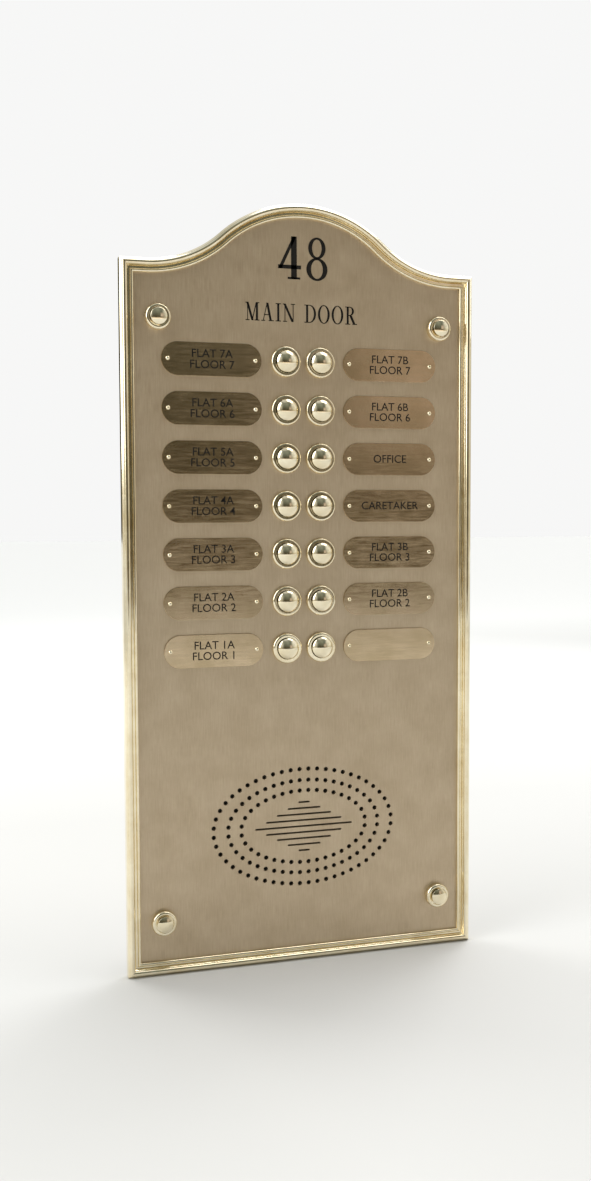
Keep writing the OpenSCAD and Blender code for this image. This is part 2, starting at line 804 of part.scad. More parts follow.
module speaker_cone() {
    back = baffle_back - speaker_depth + magnet_t;
    coil_d = 14;
    color("black") at(speaker_x, unit_z) rotate_extrude($fn = 96) {
        polygon([
            [speaker_d / 2 - 5.5, baffle_back], [speaker_d / 2 - 5.5, baffle_back - 0.4],
            [coil_d / 2, back + 2],
            [coil_d / 2, back + 0.2], [coil_d / 2 - 0.5, back + 0.2], [coil_d / 2 - 0.5, back + 2.5],
            [coil_d / 2, back + 2.9], [speaker_d / 2 - 6, baffle_back]
        ]);
        intersection() {
            translate([0, back + 2.4 - 6]) difference() {
                circle(r = 9, $fn = 96);
                circle(r = 8.6, $fn = 96);
            }
            square_from(0, back + 2.4, coil_d / 2, back + 8);
        }
    }
}

module speaker_magnet() {
    back = baffle_back - speaker_depth;
    pole_top = back + magnet_t;
    color("dimgray") at(speaker_x, unit_z) rotate_extrude($fn = 96) {
        difference() {
            square_from(0, back, magnet_d / 2 - 0.2, pole_top - 0.05);
            square_from(6, back + 1.6, 8, pole_top + 1);
        }
    }
}

module microphone() {
    color("silver") at(mic_x, unit_z + mic_z) {
        disc(mic_d, baffle_back - mic_t + 1.5, baffle_back + 1);
        for (s = [-1, 1]) translate([s * 1.6, 0, 0]) disc(0.8, board_back - 1, baffle_back - mic_t + 1.6);
    }
}

module microphone_boot() {
    color("black") at(mic_x, unit_z + mic_z) difference() {
        disc(mic_d + 2.4, baffle_back - mic_t + 1, baffle_front);
        disc(mic_d, baffle_back - mic_t, baffle_back + 1);
        disc(4, baffle_back, baffle_front + 1);
    }
}

module speech_board() {
    color("darkgreen") translate([0, 0, unit_z]) {
        slab(board_back, board_front) difference() {
            square([board_w, board_h], center = true);
            for (s = [-1, 1]) translate([mic_x + s * 1.6, mic_z]) circle(d = 1, $fn = 24);
        }
        // amplifier, capacitors, transformer and a row of small parts
        slab(board_back - 3.5, board_back) translate([24, 8]) square([19, 7], center = true);
        for (x = [-46, -33]) slab(board_back - 7.5, board_back) translate([x, 3]) circle(d = 8);
        slab(board_back - 7, board_back) translate([0, -6]) square([17, 15], center = true);
        for (k = [0:3]) slab(board_back - 1.4, board_back)
            translate([-14 + 9 * k, -26]) square([6, 3], center = true);
        // bodies of the two trimmers
        for (x = trimmer_x) slab(board_back - trimmer_h, board_back) translate([x, trimmer_z]) difference() {
            square([9, 9], center = true);
            circle(d = trimmer_d + 2 * slide_gap);
        }
    }
}

module terminal_block() {
    color("seagreen") translate([0, 0, unit_z]) difference() {
        slab(block_back, board_back) translate([0, block_z]) square([block_w, block_h], center = true);
        for (k = [0:block_ways - 1]) {
            // screw well from the back and wire way from the top
            slab(block_back - 1, block_back + well_depth) translate([way_x(k), block_z])
                circle(d = terminal_head_d + 2 * free_gap);
            slab(block_back, block_back + way_depth) translate([way_x(k), block_z])
                circle(d = terminal_d + 2 * hole_gap);
            translate([way_x(k), wire_y, block_z]) cylinder(d = 2 * wire_d, h = block_h);
        }
    }
}

module trimmer(x) {
    color("white") at(x, unit_z + trimmer_z) difference() {
        union() {
            disc(trimmer_d, board_back - trimmer_h, board_back - 0.4);
            disc(trimmer_d - 1.6, board_back - trimmer_h - 2, board_back - trimmer_h + 0.1);
        }
        translate([-trimmer_d, -0.5, board_back - trimmer_h - 3]) cube([2 * trimmer_d, 1, 2]);
    }
}

// A quarter turn of wire in the plane of at(), from +X round to +Y
module wire_bend(r) {
    rotate_extrude(angle = 90) translate([r, 0]) circle(d = wire_d, $fn = 24);
}

// A loom down the middle, with a wire to each push and eight into the terminal block
module call_wires() {
    color("firebrick") {
        translate([0, wire_y, loom_end]) cylinder(d = loom_d, h = loom_top - loom_end);
        for (s = [-1, 1], row = [1:rows]) branch_wire(s, row);
        for (s = [0, 1], k = [0:block_ways / 2 - 1]) mirror([s, 0, 0]) tail_wire(k);
    }
}

// From the loom sideways, then forwards to a push's terminal
module branch_wire(s, row) {
    start = -base_back + terminal_head_h + 0.2;
    x = s * push_x - post_x;
    side = sign(x);
    translate([0, wire_y, row_z(row) + post_z]) {
        rotate([0, side * 90, 0]) cylinder(d = wire_d, h = abs(x) - wire_bend_r);
        translate([x - side * wire_bend_r, -wire_bend_r, 0]) rotate([0, 0, side > 0 ? 0 : 90])
            wire_bend(wire_bend_r);
        translate([x, -wire_bend_r, 0]) rotate([90, 0, 0])
            cylinder(d = wire_d, h = wire_y - wire_bend_r - start);
    }
}

// From the loom sideways, then down into the terminal block, the outermost wire lowest
module tail_wire(k) {
    x = (k + 0.5) * block_pitch;
    level = loom_end + wire_d + (block_ways / 2 - 1 - k) * (wire_d + 0.8);
    tail_end = unit_z + block_z + block_h / 2 - wire_grip;
    translate([0, wire_y, level]) {
        rotate([0, 90, 0]) cylinder(d = wire_d, h = x - wire_bend_r);
        translate([x - wire_bend_r, 0, -wire_bend_r]) rotate([90, 0, 0]) wire_bend(wire_bend_r);
        translate([x, 0, tail_end - level]) cylinder(d = wire_d, h = level - wire_bend_r - tail_end);
    }
}

face_plate();
frame_left();
frame_right();
frame_bottom();
frame_top();
for (s = [0, 1], row = [1:rows]) {
    name_plate(2 * s - 1, row);
    push_button(2 * s - 1, row);
}
name_plate_rivets();
button_bushes();
bush_nuts();
button_springs();
contact_carriers();
contact_blades();
fixed_contacts();
terminal_screws();
common_bus();
fixing_screws();
fixing_collars();
rear_gasket();
frame_screws();
grille_gauze();
speech_housing();
speech_cover();
unit_screws();
speaker_basket();
speaker_cone();
speaker_magnet();
microphone();
microphone_boot();
speech_board();
terminal_block();
trimmer(trimmer_x[0]);  // speaker_trimmer
trimmer(trimmer_x[1]);  // microphone_trimmer
call_wires();
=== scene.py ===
import json
import math
import bpy
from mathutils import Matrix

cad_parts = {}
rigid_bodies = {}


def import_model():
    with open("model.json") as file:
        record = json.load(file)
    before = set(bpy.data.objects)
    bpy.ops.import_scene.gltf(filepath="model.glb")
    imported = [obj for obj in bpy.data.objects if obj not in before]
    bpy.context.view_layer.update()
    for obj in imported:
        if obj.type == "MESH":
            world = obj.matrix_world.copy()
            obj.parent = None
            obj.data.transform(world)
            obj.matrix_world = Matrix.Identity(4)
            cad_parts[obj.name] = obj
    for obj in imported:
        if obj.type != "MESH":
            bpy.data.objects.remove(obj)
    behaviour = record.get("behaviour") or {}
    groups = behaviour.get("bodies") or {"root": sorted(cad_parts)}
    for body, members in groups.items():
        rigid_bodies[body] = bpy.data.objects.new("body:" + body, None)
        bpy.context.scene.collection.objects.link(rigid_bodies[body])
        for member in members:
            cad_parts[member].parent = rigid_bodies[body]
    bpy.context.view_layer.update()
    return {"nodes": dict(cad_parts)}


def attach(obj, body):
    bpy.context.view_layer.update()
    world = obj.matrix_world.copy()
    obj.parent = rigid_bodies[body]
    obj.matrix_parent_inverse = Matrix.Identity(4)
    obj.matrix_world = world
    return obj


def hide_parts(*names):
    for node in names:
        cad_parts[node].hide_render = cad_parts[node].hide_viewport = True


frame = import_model()
print("frame loaded:", len(frame["nodes"]), "nodes")

mm = 0.001
weldReach = 0.000001  # vertices nearer than this are merged
body = "panel"

# the panel's main places in millimetres
# x runs to the right, z up from the middle of the fixings, and h forwards from the wall
panel = {
    "halfWidth": 120, "bottom": -229, "shoulder": 231,
    "crownZ": 187.8, "sweepX": 104, "sweepZ": 303, "joinAngle": 47.93,
    "plateFront": 4, "firstRow": 169.5, "rowPitch": 31.3, "rows": 7, "pushX": 11.8,
}


def rowHeight(row):
    return panel["firstRow"] - (row - 1) * panel["rowPitch"]


def startPiece(name):
    # a new mesh with one selected vertex at the origin, in edit mode
    if bpy.context.object and bpy.context.object.mode == "EDIT":
        bpy.ops.object.mode_set(mode="OBJECT")
    bpy.ops.object.select_all(action="DESELECT")
    bpy.ops.mesh.primitive_plane_add(size=0.001, location=(0, 0, 0))
    piece = bpy.context.object
    piece.name = name
    piece.data.name = name
    bpy.ops.object.mode_set(mode="EDIT")
    bpy.ops.mesh.merge(type="CENTER")
    return piece


def addPoint():
    # one more vertex at the origin of the piece being edited
    bpy.ops.mesh.select_all(action="DESELECT")
    bpy.ops.mesh.primitive_plane_add(size=0.001, location=(0, 0, 0))
    bpy.ops.mesh.merge(type="CENTER")


def drawLine(points):
    # carries the selected vertex to the first point, and extrudes it along the others
    bpy.ops.transform.translate(value=points[0])
    for a, b in zip(points, points[1:]):
        step = tuple(q - p for p, q in zip(a, b))
        bpy.ops.mesh.extrude_vertices_move(TRANSFORM_OT_translate={"value": step})


def arcPoints(x, y, r, start, end, steps):
    turns = [math.radians(start + (end - start) * k / steps) for k in range(steps + 1)]
    return [(x + r * math.cos(t), y + r * math.sin(t)) for t in turns]


def cleanUp():
    bpy.ops.mesh.select_all(action="SELECT")
    bpy.ops.mesh.remove_doubles(threshold=weldReach)
    bpy.ops.mesh.normals_make_consistent(inside=False)


def softenEdges(piece, width, angle=40):
    # a small bevel along every sharp edge, then smooth shading
    bpy.ops.object.mode_set(mode="OBJECT")
    bevel = piece.modifiers.new("edges", "BEVEL")
    bevel.width = width * mm
    bevel.segments = 2
    bevel.limit_method = "ANGLE"
    bevel.angle_limit = math.radians(angle)
    bpy.ops.object.modifier_apply(modifier="edges")
    bpy.ops.object.shade_smooth_by_angle(angle=math.radians(angle))
    piece.modifiers.new("weights", "WEIGHTED_NORMAL").keep_sharp = True  # keeps flat faces flat
    bpy.ops.object.modifier_apply(modifier="weights")


def turnPiece(name, profile, steps, edge):
    # turns (radius, height) points round the Y axis
    piece = startPiece(name)
    drawLine([(r * mm, -h * mm, 0) for r, h in profile])
    bpy.ops.mesh.select_all(action="SELECT")
    bpy.ops.mesh.spin(steps=steps, angle=2 * math.pi, center=(0, 0, 0), axis=(0, 1, 0))
    cleanUp()
    softenEdges(piece, edge)
    return piece


def domeProfile(diameter, rise, base, steps):
    # from the rim of a dome to its top
    r = (diameter ** 2 / 4 + rise ** 2) / (2 * rise)
    rim = math.degrees(math.acos(diameter / 2 / r))
    return [(max(0, x), h) for x, h in arcPoints(0, base + rise - r, r, rim, 90, steps)]


def copyPiece(piece, name, x, z):
    # another of the same, with its own mesh, moved to its place
    bpy.ops.object.select_all(action="DESELECT")
    piece.select_set(True)
    bpy.context.view_layer.objects.active = piece
    bpy.ops.object.duplicate(linked=False)
    another = bpy.context.object
    another.name = name
    another.data.name = name
    another.location = (x * mm, 0, z * mm)
    bpy.ops.object.transform_apply(location=True, rotation=True, scale=True)
    return another


def joinPieces(pieces, name):
    bpy.ops.object.select_all(action="DESELECT")
    for piece in pieces:
        piece.select_set(True)
    bpy.context.view_layer.objects.active = pieces[0]
    bpy.ops.object.join()
    pieces[0].name = name
    pieces[0].data.name = name
    return pieces[0]


def mount(piece, finish, slot, riding, *nodes):
    # gives a finished piece its finish, its body and the CAD nodes that it stands for
    if finish:
        piece.data.materials.clear()
        piece.data.materials.append(finish)
    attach(piece, riding)
    if nodes:
        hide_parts(*nodes)


noiseSpan = (0.3, 0.7)  # the part of a noise's range where most of its values lie


def makeFinish(name, look):
    # broad mottling in the colour, fine grain in the colour, gloss and relief
    finish = bpy.data.materials.new(name)
    finish.use_nodes = True
    nodes = finish.node_tree.nodes
    link = finish.node_tree.links.new
    shader = nodes["Principled BSDF"]
    shader.inputs["Metallic"].default_value = look.get("metallic", 0)
    shader.inputs["Specular IOR Level"].default_value = look.get("specular", 0.5)
    if "coat" in look:
        shader.inputs["Coat Weight"].default_value = look["coat"]
        shader.inputs["Coat Roughness"].default_value = 0.15
    place = nodes.new("ShaderNodeTexCoord")

    mottle = nodes.new("ShaderNodeTexNoise")
    mottle.inputs["Scale"].default_value = look["mottle"]
    mottle.inputs["Detail"].default_value = 5
    mottle.inputs["Roughness"].default_value = 0.6
    link(place.outputs["Object"], mottle.inputs["Vector"])

    stretch = nodes.new("ShaderNodeMapping")
    stretch.inputs["Scale"].default_value = look.get("stretch", (1, 1, 1))
    link(place.outputs["Object"], stretch.inputs["Vector"])
    grain = nodes.new("ShaderNodeTexNoise")
    grain.inputs["Scale"].default_value = look["grain"]
    grain.inputs["Detail"].default_value = 3
    link(stretch.outputs["Vector"], grain.inputs["Vector"])

    colour = nodes.new("ShaderNodeValToRGB")
    colour.color_ramp.elements[0].position = noiseSpan[0]
    colour.color_ramp.elements[0].color = (*look["dark"], 1)
    colour.color_ramp.elements[1].position = noiseSpan[1]
    colour.color_ramp.elements[1].color = (*look["light"], 1)
    link(mottle.outputs["Fac"], colour.inputs["Fac"])
    speckle = nodes.new("ShaderNodeMix")
    speckle.data_type = "RGBA"
    speckle.blend_type = "OVERLAY"
    speckle.inputs["Factor"].default_value = look.get("speckle", 0.2)
    link(colour.outputs["Color"], speckle.inputs["A"])
    link(grain.outputs["Fac"], speckle.inputs["B"])
    link(speckle.outputs["Result"], shader.inputs["Base Color"])

    gloss = nodes.new("ShaderNodeMapRange")
    gloss.inputs["From Min"].default_value = noiseSpan[0]
    gloss.inputs["From Max"].default_value = noiseSpan[1]
    gloss.inputs["To Min"].default_value = look["rough"][0]
    gloss.inputs["To Max"].default_value = look["rough"][1]
    link(grain.outputs["Fac"], gloss.inputs["Value"])
    link(gloss.outputs["Result"], shader.inputs["Roughness"])

    relief = nodes.new("ShaderNodeBump")
    relief.inputs["Strength"].default_value = look.get("relief", 0.2)
    relief.inputs["Distance"].default_value = look.get("depth", 0.02) * mm
    link(grain.outputs["Fac"], relief.inputs["Height"])
    link(relief.outputs["Normal"], shader.inputs["Normal"])
    return finish


finishes = {
    "satinBrass": makeFinish("satin_brass", {
        "metallic": 0.9, "dark": (0.54, 0.43, 0.295), "light": (0.62, 0.505, 0.36),
        "mottle": 60, "grain": 1500, "stretch": (1, 1, 0.06), "speckle": 0.22,
        "rough": (0.40, 0.52), "relief": 0.35, "depth": 0.03,
    }),
    "polishedBrass": makeFinish("polished_brass", {
        "metallic": 1, "dark": (0.80, 0.69, 0.47), "light": (0.93, 0.85, 0.65),
        "mottle": 90, "grain": 700, "stretch": (1, 1, 0.15), "speckle": 0.08,
        "rough": (0.07, 0.15), "relief": 0.12, "depth": 0.02,
    }),
    "plateBrass": makeFinish("name_plate_brass", {
        "metallic": 1, "dark": (0.50, 0.39, 0.235), "light": (0.66, 0.52, 0.35),
        "mottle": 45, "grain": 900, "stretch": (0.1, 1, 1), "speckle": 0.12,
        "rough": (0.13, 0.22), "relief": 0.12, "depth": 0.02,
    }),
    "paint": makeFinish("engraving_paint", {
        "dark": (0.008, 0.007, 0.006), "light": (0.02, 0.017, 0.014),
        "mottle": 300, "grain": 2500, "rough": (0.7, 0.9), "specular": 0.15,
    }),
    "rawBrass": makeFinish("raw_brass", {
        "metallic": 1, "dark": (0.55, 0.40, 0.18), "light": (0.74, 0.58, 0.30),
        "mottle": 200, "grain": 1600, "speckle": 0.25, "rough": (0.25, 0.42),
    }),
    "springSteel": makeFinish("spring_steel", {
        "metallic": 1, "dark": (0.42, 0.42, 0.43), "light": (0.60, 0.60, 0.61),
        "mottle": 250, "grain": 2000, "speckle": 0.15, "rough": (0.2, 0.35),
    }),
    "springBronze": makeFinish("spring_bronze", {
        "metallic": 1, "dark": (0.62, 0.36, 0.20), "light": (0.80, 0.52, 0.32),
        "mottle": 250, "grain": 1800, "speckle": 0.18, "rough": (0.22, 0.36),
    }),
    "platedSteel": makeFinish("plated_steel", {
        "metallic": 1, "dark": (0.55, 0.55, 0.53), "light": (0.74, 0.73, 0.70),
        "mottle": 220, "grain": 1700, "speckle": 0.2, "rough": (0.24, 0.42),
    }),
    "phenolic": makeFinish("phenolic", {
        "dark": (0.045, 0.018, 0.008), "light": (0.105, 0.042, 0.018),
        "mottle": 140, "grain": 900, "stretch": (1, 0.3, 1), "speckle": 0.35,
        "rough": (0.25, 0.42), "coat": 0.2,
    }),
    "blackRubber": makeFinish("black_rubber", {
        "dark": (0.012, 0.012, 0.012), "light": (0.030, 0.030, 0.029),
        "mottle": 160, "grain": 1800, "speckle": 0.3, "rough": (0.6, 0.85), "relief": 0.4,
    }),
    "greyPlastic": makeFinish("grey_plastic", {
        "dark": (0.060, 0.063, 0.066), "light": (0.085, 0.088, 0.092),
        "mottle": 80, "grain": 2200, "speckle": 0.25, "rough": (0.38, 0.55), "relief": 0.45, "depth": 0.05,
    }),
    "conePaper": makeFinish("cone_paper", {
        "dark": (0.010, 0.010, 0.010), "light": (0.035, 0.033, 0.030),
        "mottle": 300, "grain": 1400, "speckle": 0.5, "rough": (0.75, 0.95), "relief": 0.6,
    }),
    "magnetIron": makeFinish("magnet_iron", {
        "metallic": 0.7, "dark": (0.05, 0.05, 0.052), "light": (0.12, 0.12, 0.12),
        "mottle": 180, "grain": 1500, "speckle": 0.3, "rough": (0.4, 0.6),
    }),
    "capsuleAluminium": makeFinish("capsule_aluminium", {
        "metallic": 1, "dark": (0.66, 0.67, 0.68), "light": (0.82, 0.82, 0.83),
        "mottle": 300, "grain": 2400, "speckle": 0.12, "rough": (0.25, 0.35),
    }),
    "terminalPlastic": makeFinish("terminal_plastic", {
        "dark": (0.015, 0.13, 0.055), "light": (0.03, 0.20, 0.085),
        "mottle": 120, "grain": 1800, "speckle": 0.2, "rough": (0.35, 0.5), "relief": 0.3,
    }),
    "trimmerPlastic": makeFinish("trimmer_plastic", {
        "dark": (0.62, 0.60, 0.55), "light": (0.78, 0.76, 0.71),
        "mottle": 250, "grain": 2000, "speckle": 0.15, "rough": (0.35, 0.5),
    }),
    "wirePvc": makeFinish("wire_pvc", {
        "dark": (0.30, 0.016, 0.012), "light": (0.46, 0.030, 0.022),
        "mottle": 120, "grain": 1500, "speckle": 0.2, "rough": (0.35, 0.5), "relief": 0.3,
    }),
    "boardGreen": makeFinish("board_green", {
        "dark": (0.010, 0.075, 0.035), "light": (0.022, 0.125, 0.055),
        "mottle": 260, "grain": 420, "stretch": (1, 1, 0.2), "speckle": 0.5,
        "rough": (0.22, 0.4), "coat": 0.35,
    }),
    "fineGauze": makeFinish("fine_gauze", {
        "metallic": 0.5, "dark": (0.008, 0.008, 0.008), "light": (0.03, 0.028, 0.024),
        "mottle": 400, "grain": 3200, "speckle": 0.6, "rough": (0.5, 0.8), "relief": 0.8,
    }),
}
print("finishes made:", len(finishes))

# moulding round the plate, one section carried round in four mitred lengths; beads are (u, h, radius)
moulding = {
    "outerBead": (2.9, 7.25, 1.75), "innerBead": (7.6, 5.2, 1.15), "bevelHeight": 6.25,
    "groove": (5.25, 5.2), "rim": 4, "lip": 0.2, "mitreGap": 0.03, "beadSteps": 22,
    "spare": 5, "sweepSteps": 20, "crownSteps": 44, "smoothAngle": 25,
}


def mouldingSection():
    # u runs inwards from the outer edge, h forwards from the wall
    outerX, outerH, outerR = moulding["outerBead"]
    innerX, innerH, innerR = moulding["innerBead"]
    front = panel["plateFront"]
    points = [(0, 0), (0, moulding["bevelHeight"])]
    points += arcPoints(outerX, outerH, outerR, 180, -30, moulding["beadSteps"])
    points += [moulding["groove"]]
    points += arcPoints(innerX, innerH, innerR, 180, 0, moulding["beadSteps"])
    points += [(innerX + innerR - moulding["lip"], front), (moulding["rim"], front), (moulding["rim"], 0), (0, 0)]
    return points


def fillEnd(axis, value):
    # closes the open end that lies at a given place on an axis
    bpy.ops.mesh.select_all(action="DESELECT")
    bpy.ops.object.mode_set(mode="OBJECT")
    mesh = bpy.context.object.data
    for vertex in mesh.vertices:
        vertex.select = abs(vertex.co[axis] - value * mm) < 0.00001
    bpy.ops.object.mode_set(mode="EDIT")
    bpy.ops.mesh.edge_face_add()


def cutMitre(x, z, normal):
    bpy.ops.mesh.select_all(action="SELECT")
    bpy.ops.mesh.bisect(
        plane_co=(x * mm, 0, z * mm), plane_no=normal, use_fill=True, clear_outer=True, clear_inner=False)


def finishMoulding(piece, node):
    cleanUp()
    bpy.ops.object.mode_set(mode="OBJECT")
    bpy.ops.object.shade_smooth_by_angle(angle=math.radians(moulding["smoothAngle"]))
    mount(piece, finishes["polishedBrass"], "polished_brass", body, node)


def modelSide(node, side):
    piece = startPiece(node)
    section = mouldingSection()
    low, high, half, spare = panel["bottom"], panel["shoulder"], panel["halfWidth"], moulding["spare"]
    drawLine([(side * (half - u) * mm, -h * mm, (low - spare) * mm) for u, h in section])
    bpy.ops.mesh.select_all(action="SELECT")
    bpy.ops.mesh.remove_doubles(threshold=weldReach)
    bpy.ops.mesh.extrude_region_move(TRANSFORM_OT_translate={"value": (0, 0, (high - low + 2 * spare) * mm)})
    fillEnd(2, low - spare)
    fillEnd(2, high + spare)
    cutMitre(side * half, low + moulding["mitreGap"], (side * -1, 0, -1))
    cutMitre(side * half, high - moulding["mitreGap"], (side * -1, 0, 1))
    finishMoulding(piece, node)


def modelBottom(node):
    piece = startPiece(node)
    low, half, spare = panel["bottom"], panel["halfWidth"], moulding["spare"]
    drawLine([(-(half + spare) * mm, -h * mm, (low + u) * mm) for u, h in mouldingSection()])
    bpy.ops.mesh.select_all(action="SELECT")
    bpy.ops.mesh.remove_doubles(threshold=weldReach)
    bpy.ops.mesh.extrude_region_move(TRANSFORM_OT_translate={"value": (2 * (half + spare) * mm, 0, 0)})
    fillEnd(0, -half - spare)
    fillEnd(0, half + spare)
    cutMitre(-half + moulding["mitreGap"], low, (-1, 0, 1))
    cutMitre(half - moulding["mitreGap"], low, (1, 0, 1))
    finishMoulding(piece, node)


def modelArch(node):
    # straight flat, sweep, crown, sweep, flat: one section carried all the way
    piece = startPiece(node)
    half, high, spare = panel["halfWidth"], panel["shoulder"], moulding["spare"]
    sweepX, sweepZ, join = panel["sweepX"], panel["sweepZ"], panel["joinAngle"]
    flat = (half + spare - sweepX) * mm
    sweepSteps, crownSteps = moulding["sweepSteps"], moulding["crownSteps"]
    drawLine([((half + spare) * mm, -h * mm, (high - u) * mm) for u, h in mouldingSection()])
    bpy.ops.mesh.select_all(action="SELECT")
    bpy.ops.mesh.remove_doubles(threshold=weldReach)
    bpy.ops.mesh.extrude_region_move(TRANSFORM_OT_translate={"value": (-flat, 0, 0)})
    for x, z, turn, steps in (
            (sweepX, sweepZ, 90 - join, sweepSteps), (0, panel["crownZ"], 2 * join - 180, crownSteps),
            (-sweepX, sweepZ, 90 - join, sweepSteps)):
        bpy.ops.mesh.spin(steps=steps, angle=math.radians(turn), center=(x * mm, 0, z * mm), axis=(0, -1, 0))
    bpy.ops.mesh.extrude_region_move(TRANSFORM_OT_translate={"value": (-flat, 0, 0)})
    fillEnd(0, half + spare)
    fillEnd(0, -half - spare)
    cutMitre(-half + moulding["mitreGap"], high, (-1, 0, -1))
    cutMitre(half - moulding["mitreGap"], high, (1, 0, -1))
    finishMoulding(piece, node)


modelSide("frame_left", -1)
modelSide("frame_right", 1)
modelBottom("frame_bottom")
modelArch("frame_top")
print("moulding modelled")

# bell pushes and their bushes, both turned
pushCap = {
    "diameter": 14, "domeBase": 9.2, "domeRise": 2.8, "back": -0.7, "cavity": 7, "wall": 2,
    "plunger": 4, "plungerEnd": -8.7, "clip": (8, -5.85, -5.05), "edge": 0.12,
}
pushBush = {
    "flange": 20, "front": 7.2, "rim": 1.35, "bore": 14.6, "barrel": 16.8,
    "webFront": -3, "webBack": -5, "guide": 4.1, "edge": 0.08,
}


def modelCap():
    cap, plunger = pushCap["diameter"] / 2, pushCap["plunger"] / 2
    clip, clipBack, clipFront = pushCap["clip"]
    inner = cap - pushCap["wall"]
    profile = [
        (0, pushCap["plungerEnd"]), (plunger, pushCap["plungerEnd"]), (plunger, clipBack),
        (clip / 2, clipBack), (clip / 2, clipFront), (plunger, clipFront), (plunger, pushCap["cavity"]),
        (inner, pushCap["cavity"]), (inner, pushCap["back"]), (cap, pushCap["back"]),
    ]
    profile += domeProfile(pushCap["diameter"], pushCap["domeRise"], pushCap["domeBase"], 14)
    return turnPiece("cap", profile, 72, pushCap["edge"])


def modelBush():
    flange, barrel = pushBush["flange"] / 2, pushBush["barrel"] / 2
    bore, guide, rim = pushBush["bore"] / 2, pushBush["guide"] / 2, pushBush["rim"]
    front, back = pushBush["front"], panel["plateFront"]
    profile = [(guide, pushBush["webFront"]), (guide, pushBush["webBack"]), (barrel, pushBush["webBack"])]
    profile += [(barrel, back), (flange, back)]
    profile += arcPoints(flange - rim, front - rim, rim, 0, 90, 12)
    profile += [(bore, front), (bore, pushBush["webFront"]), (guide, pushBush["webFront"])]
    return turnPiece("bush", profile, 72, pushBush["edge"])


cap, bush = modelCap(), modelBush()
bushes = []
for side, x in (("l", -panel["pushX"]), ("r", panel["pushX"])):
    for row in range(1, panel["rows"] + 1):
        node = f"push_button_{side}{row}"
        mount(copyPiece(cap, node + "_cap", x, rowHeight(row)), finishes["polishedBrass"],
              "polished_brass", node, node)
        bushes.append(copyPiece(bush, f"bush_{side}{row}", x, rowHeight(row)))
mount(joinPieces(bushes, "bushes"), finishes["polishedBrass"], "polished_brass", body, "button_bushes")
for pattern in (cap, bush):
    bpy.data.objects.remove(pattern)
print("bell pushes modelled")

# name plates, with two lines of engraving and two rivets each
namePlate = {
    "length": 66, "height": 21.5, "thickness": 1, "x": 61, "rivetPitch": 57.6, "edge": 0.18,
    "corners": 96, "textSize": 5.2, "capShare": 0.7, "lineGap": 0.936, "bolder": 0.03, "proud": 0.04,
    "left": ["FLAT 7A\nFLOOR 7", "FLAT 6A\nFLOOR 6", "FLAT 5A\nFLOOR 5", "FLAT 4A\nFLOOR 4",
             "FLAT 3A\nFLOOR 3", "FLAT 2A\nFLOOR 2", "FLAT 1A\nFLOOR 1"],
    "right": ["FLAT 7B\nFLOOR 7", "FLAT 6B\nFLOOR 6", "OFFICE", "CARETAKER",
              "FLAT 3B\nFLOOR 3", "FLAT 2B\nFLOOR 2", ""],
}
rivet = {"shank": 1.8, "head": 2.8, "rise": 0.8, "back": 1.5, "edge": 0.03}


def modelNamePlate():
    # a disc whose two halves are drawn apart, thickened, with its front rim rounded off
    length, height = namePlate["length"], namePlate["height"]
    front, back = -(panel["plateFront"] + namePlate["thickness"]) * mm, -panel["plateFront"] * mm
    bpy.ops.object.select_all(action="DESELECT")
    bpy.ops.mesh.primitive_circle_add(
        vertices=namePlate["corners"], radius=height / 2 * mm, fill_type="NGON", location=(0, back, 0),
        rotation=(math.pi / 2, math.pi / namePlate["corners"], 0))
    piece = bpy.context.object
    piece.name = "plate"
    bpy.ops.object.transform_apply(location=True, rotation=True, scale=True)
    for vertex in piece.data.vertices:
        vertex.select = vertex.co.x > 0
    for edge in piece.data.edges:
        edge.select = all(piece.data.vertices[v].co.x > 0 for v in edge.vertices)
    for face in piece.data.polygons:
        face.select = False
    bpy.ops.object.mode_set(mode="EDIT")
    bpy.ops.transform.translate(value=((length - height) * mm, 0, 0))
    bpy.ops.mesh.select_all(action="SELECT")
    bpy.ops.transform.translate(value=(-(length - height) / 2 * mm, 0, 0))
    bpy.ops.mesh.extrude_region_move(TRANSFORM_OT_translate={"value": (0, front - back, 0)})
    cleanUp()
    softenEdges(piece, namePlate["edge"])
    return piece


def engrave(text, x, z):
    # raised a hair above the plate, so that it reads as paint in the engraving
    bpy.ops.object.select_all(action="DESELECT")
    bpy.ops.object.text_add(location=(0, 0, 0))
    lines = bpy.context.object
    lines.data.body = text
    lines.data.size = namePlate["textSize"] * mm / namePlate["capShare"]
    lines.data.align_x = "CENTER"
    lines.data.align_y = "CENTER"
    lines.data.space_line = namePlate["lineGap"]
    lines.data.offset = namePlate["bolder"] * mm
    lines.data.extrude = namePlate["proud"] / 2 * mm
    lines.data.resolution_u = 4
    bpy.ops.object.convert(target="MESH")
    letters = bpy.context.object
    front = panel["plateFront"] + namePlate["thickness"]
    letters.location = (x * mm, -(front + namePlate["proud"] / 2) * mm, z * mm)
    letters.rotation_euler = (math.pi / 2, 0, 0)
    bpy.ops.object.transform_apply(location=True, rotation=True, scale=True)
    letters.data.materials.clear()
    letters.data.materials.append(finishes["paint"])
    return letters


def modelRivet():
    shank, head = rivet["shank"] / 2, rivet["head"] / 2
    seat = panel["plateFront"] + namePlate["thickness"]
    profile = [(0, rivet["back"]), (shank, rivet["back"]), (shank, seat)]
    profile += domeProfile(rivet["head"], rivet["rise"], seat, 8)
    return turnPiece("rivet", profile, 28, rivet["edge"])


